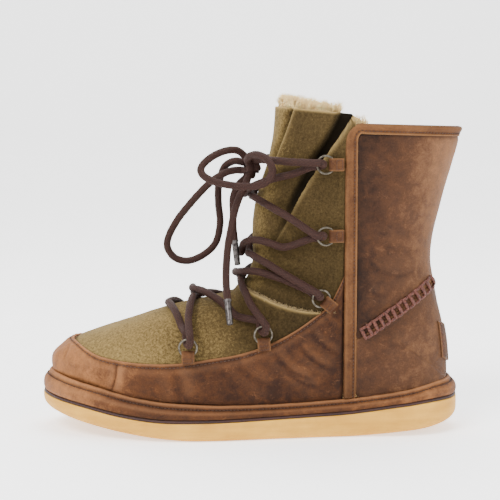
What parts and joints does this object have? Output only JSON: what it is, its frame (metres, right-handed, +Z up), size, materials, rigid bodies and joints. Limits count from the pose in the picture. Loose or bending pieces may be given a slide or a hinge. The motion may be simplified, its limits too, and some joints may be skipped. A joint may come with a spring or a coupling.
{
  "type": "lace-up moccasin boot",
  "caption": "Ankle-high lace-up moccasin boot with shearling lining, suede front, brown leather wrap, strap-held lace rings, tied round lace and a flat pale sole.",
  "frame": {"origin": "middle of the boot's footprint, on the ground", "axes": "-X towards the toe, +X towards the heel, -Y towards the outer side of the foot, +Z up"},
  "size_m": [0.277, 0.1082, 0.212],
  "materials": {
    "outsole_rubber": "matt pale crepe-coloured rubber",
    "dark_stripe": "matt dark brown",
    "midsole_foam": "closed-cell foam",
    "board": "pressed fibre board",
    "shearling": "cream-tan clipped fleece",
    "foxing_leather": "oiled, rolled over the edge",
    "brown_leather": "oiled pull-up, scuffed lighter",
    "olive_suede": "napped suede",
    "dark_leather": "oiled pull-up, slight sheen",
    "tan_leather": "smooth folded strip",
    "stitch_cord": "waxed cord",
    "ring_metal": "dull antique nickel",
    "aglet_metal": "dark crimped sleeve",
    "lace_cord": "round braided cord"
  },
  "bodies": {
    "root": {"outsole": "outsole_rubber", "rand_stripe": "dark_stripe", "midsole_core": "midsole_foam", "leather_foxing": "foxing_leather", "insole_board": "board", "footbed": "shearling", "toe_stiffener": "board", "heel_stiffener": "board", "vamp_lining": "shearling", "heel_lining_lateral": "shearling", "heel_lining_medial": "shearling", "shaft_lining_lateral": "shearling", "shaft_lining_medial": "shearling", "mudguard": "brown_leather", "vamp_plug": "olive_suede", "front_panel": "olive_suede", "quarter_lateral": "dark_leather", "quarter_medial": "dark_leather", "counter_lateral": "dark_leather", "counter_medial": "dark_leather", "binding_lateral": "tan_leather", "binding_medial": "tan_leather", "heel_patch": "dark_leather", "seam_stitches_lateral": "stitch_cord", "seam_stitches_medial": "stitch_cord", "tab_lateral_1": "tan_leather", "tab_lateral_2": "tan_leather", "tab_lateral_3": "tan_leather", "tab_lateral_4": "tan_leather", "tab_lateral_5": "tan_leather", "tab_medial_1": "tan_leather", "tab_medial_2": "tan_leather", "tab_medial_3": "tan_leather", "tab_medial_4": "tan_leather", "tab_medial_5": "tan_leather", "lace": "lace_cord", "bow_knot": "lace_cord", "bow_loop_lateral": "lace_cord", "bow_loop_medial": "lace_cord", "lace_end_lateral": "lace_cord", "lace_end_medial": "lace_cord", "aglet_lateral": "aglet_metal", "aglet_medial": "aglet_metal"},
    "ring_lateral_1": {"ring_lateral_1": "ring_metal"},
    "ring_lateral_2": {"ring_lateral_2": "ring_metal"},
    "ring_lateral_3": {"ring_lateral_3": "ring_metal"},
    "ring_lateral_4": {"ring_lateral_4": "ring_metal"},
    "ring_lateral_5": {"ring_lateral_5": "ring_metal"},
    "ring_medial_1": {"ring_medial_1": "ring_metal"},
    "ring_medial_2": {"ring_medial_2": "ring_metal"},
    "ring_medial_3": {"ring_medial_3": "ring_metal"},
    "ring_medial_4": {"ring_medial_4": "ring_metal"},
    "ring_medial_5": {"ring_medial_5": "ring_metal"}
  },
  "joints": [
    {"name": "swing_lateral_1", "type": "hinge", "parent": "root", "child": "ring_lateral_1", "pos_m": [-0.03793, -0.04638, 0.0548], "axis": [0.9998, 0.0191, 0], "range_deg": [-5, 5]},
    {"name": "swing_lateral_2", "type": "hinge", "parent": "root", "child": "ring_lateral_2", "pos_m": [0.00967, -0.04113, 0.06328], "axis": [0.9913, 0.0991, 0.0867], "range_deg": [-5, 5]},
    {"name": "swing_lateral_3", "type": "hinge", "parent": "root", "child": "ring_lateral_3", "pos_m": [0.04927, -0.03836, 0.08769], "axis": [0.6427, -0.0125, 0.766], "range_deg": [-5, 5]},
    {"name": "swing_lateral_4", "type": "hinge", "parent": "root", "child": "ring_lateral_4", "pos_m": [0.05313, -0.03908, 0.12998], "axis": [0, -0.0055, 1], "range_deg": [-5, 5]},
    {"name": "swing_lateral_5", "type": "hinge", "parent": "root", "child": "ring_lateral_5", "pos_m": [0.05294, -0.03892, 0.17498], "axis": [0, -0.0057, 1], "range_deg": [-5, 5]},
    {"name": "swing_medial_1", "type": "hinge", "parent": "root", "child": "ring_medial_1", "pos_m": [-0.03737, 0.04519, 0.05474], "axis": [-0.9843, 0.1763, 0], "range_deg": [-5, 5]},
    {"name": "swing_medial_2", "type": "hinge", "parent": "root", "child": "ring_medial_2", "pos_m": [0.00922, 0.04073, 0.06307], "axis": [-0.9957, -0.0327, -0.0871], "range_deg": [-5, 5]},
    {"name": "swing_medial_3", "type": "hinge", "parent": "root", "child": "ring_medial_3", "pos_m": [0.04934, 0.0424, 0.08777], "axis": [-0.6427, 0.0124, -0.766], "range_deg": [-5, 5]},
    {"name": "swing_medial_4", "type": "hinge", "parent": "root", "child": "ring_medial_4", "pos_m": [0.05313, 0.04308, 0.12998], "axis": [0, -0.0055, -1], "range_deg": [-5, 5]},
    {"name": "swing_medial_5", "type": "hinge", "parent": "root", "child": "ring_medial_5", "pos_m": [0.05294, 0.04292, 0.17498], "axis": [0, -0.0057, -1], "range_deg": [-5, 5]}
  ]
}
